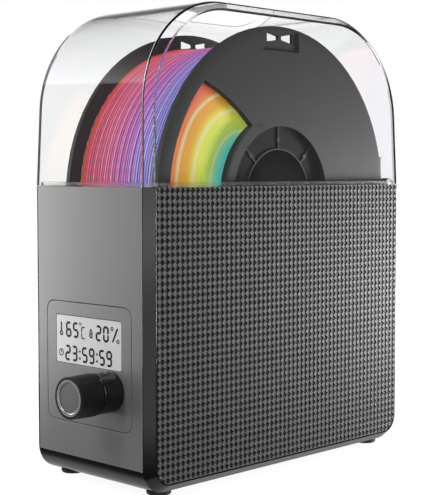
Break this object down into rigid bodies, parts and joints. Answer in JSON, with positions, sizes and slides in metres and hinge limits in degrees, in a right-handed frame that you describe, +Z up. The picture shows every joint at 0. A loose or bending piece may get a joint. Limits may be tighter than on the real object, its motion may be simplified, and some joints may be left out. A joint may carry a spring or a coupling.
{
  "type": "filament dryer box",
  "caption": "Upright heated box with a clear hinged cover that dries and feeds a spool of printer filament, with a display and a push-and-turn dial on its narrow front.",
  "frame": {"origin": "middle of the part's bounding box, on the surface its feet stand on", "axes": "+Z up, -Y towards the control panel, +X to the right of someone facing the control panel"},
  "size_m": [0.1012, 0.2616, 0.273],
  "materials": {
    "shell_black": "satin black moulded plastic",
    "side_black": "black plastic with a small diamond relief",
    "panel_grey": "satin grey, fine metallic grain",
    "lcd_pale": "pale grey display pane",
    "sensor_white": "matt white",
    "board_green": "circuit board lacquer",
    "steel": "machined",
    "cap_grey": "spun brushed disc",
    "knob_black": "satin black",
    "rubber": "matt",
    "gasket": "soft translucent grey seal",
    "aluminium": "plain sheet and fins",
    "clear": "clear moulded cover",
    "spool_grey": "satin dark grey",
    "filament": "silky filament, colours that run along the winding"
  },
  "bodies": {
    "case": {"base_shell": "shell_black", "bottom_cover": "shell_black", "chamber_tray": "shell_black", "front_panel": "panel_grey", "control_bezel": "panel_grey", "side_panel_near": "side_black", "side_panel_far": "side_black", "lcd_window": "lcd_pale", "humidity_sensor": "sensor_white", "lcd_module": "board_green", "control_board": "board_green", "power_board": "board_green", "encoder_body": "steel", "knob_collar": "knob_black", "fan_frame": "knob_black", "power_inlet": "knob_black", "outlet_fitting": "knob_black", "foot_near_front": "rubber", "foot_near_back": "rubber", "foot_far_front": "rubber", "foot_far_back": "rubber", "rim_gasket": "gasket", "axle_front": "steel", "axle_rear": "steel", "roller_bracket_near": "steel", "roller_bracket_far": "steel", "heater_duct": "aluminium", "heater_core": "aluminium", "hinge_bracket_near": "knob_black", "hinge_bracket_far": "knob_black", "hinge_pin_near": "steel", "hinge_pin_far": "steel"},
    "lid": {"cover": "clear", "hinge_strap_near": "knob_black", "hinge_strap_far": "knob_black"},
    "dial_rotor": {"encoder_rotor": "steel"},
    "dial": {"knob": "knob_black", "knob_cap": "cap_grey", "knob_shaft": "steel"},
    "fan": {"fan_impeller": "knob_black"},
    "spool": {"spool_flange_near": "spool_grey", "spool_flange_far": "spool_grey", "spool_hub": "spool_grey", "filament_core": "filament", "filament_winding": "filament"},
    "front_roller": {"roller_front": "rubber"},
    "rear_roller": {"roller_rear": "rubber"}
  },
  "joints": [
    {"name": "lid_hinge", "type": "hinge", "parent": "case", "child": "lid", "pos_m": [0, 0.1272, 0.1697], "axis": [-1, 0, 0], "range_deg": [0, 100]},
    {"name": "dial_turn", "type": "hinge", "parent": "case", "child": "dial_rotor", "pos_m": [0.0192, -0.101, 0.05721], "axis": [0, -1, 0], "continuous": true},
    {"name": "dial_push", "type": "slide", "parent": "dial_rotor", "child": "dial", "axis": [0, 1, 0], "range_m": [0, 0.0008], "stiffness_N_per_m": 900},
    {"name": "fan_spin", "type": "hinge", "parent": "case", "child": "fan", "pos_m": [0, 0.011, 0.0087], "axis": [0, 0, 1], "continuous": true},
    {"name": "spool_spin", "type": "hinge", "parent": "case", "child": "spool", "pos_m": [0.0053, 0.011, 0.163], "axis": [1, 0, 0], "continuous": true},
    {"name": "front_roller_spin", "type": "hinge", "parent": "case", "child": "front_roller", "pos_m": [0, -0.05112, 0.07429], "axis": [1, 0, 0], "continuous": true},
    {"name": "rear_roller_spin", "type": "hinge", "parent": "case", "child": "rear_roller", "pos_m": [0, 0.07312, 0.07429], "axis": [1, 0, 0], "continuous": true}
  ],
  "couplings": [
    {"joint": "front_roller_spin", "follows": "spool_spin", "ratio": -12.5},
    {"joint": "rear_roller_spin", "follows": "spool_spin", "ratio": -12.5}
  ]
}
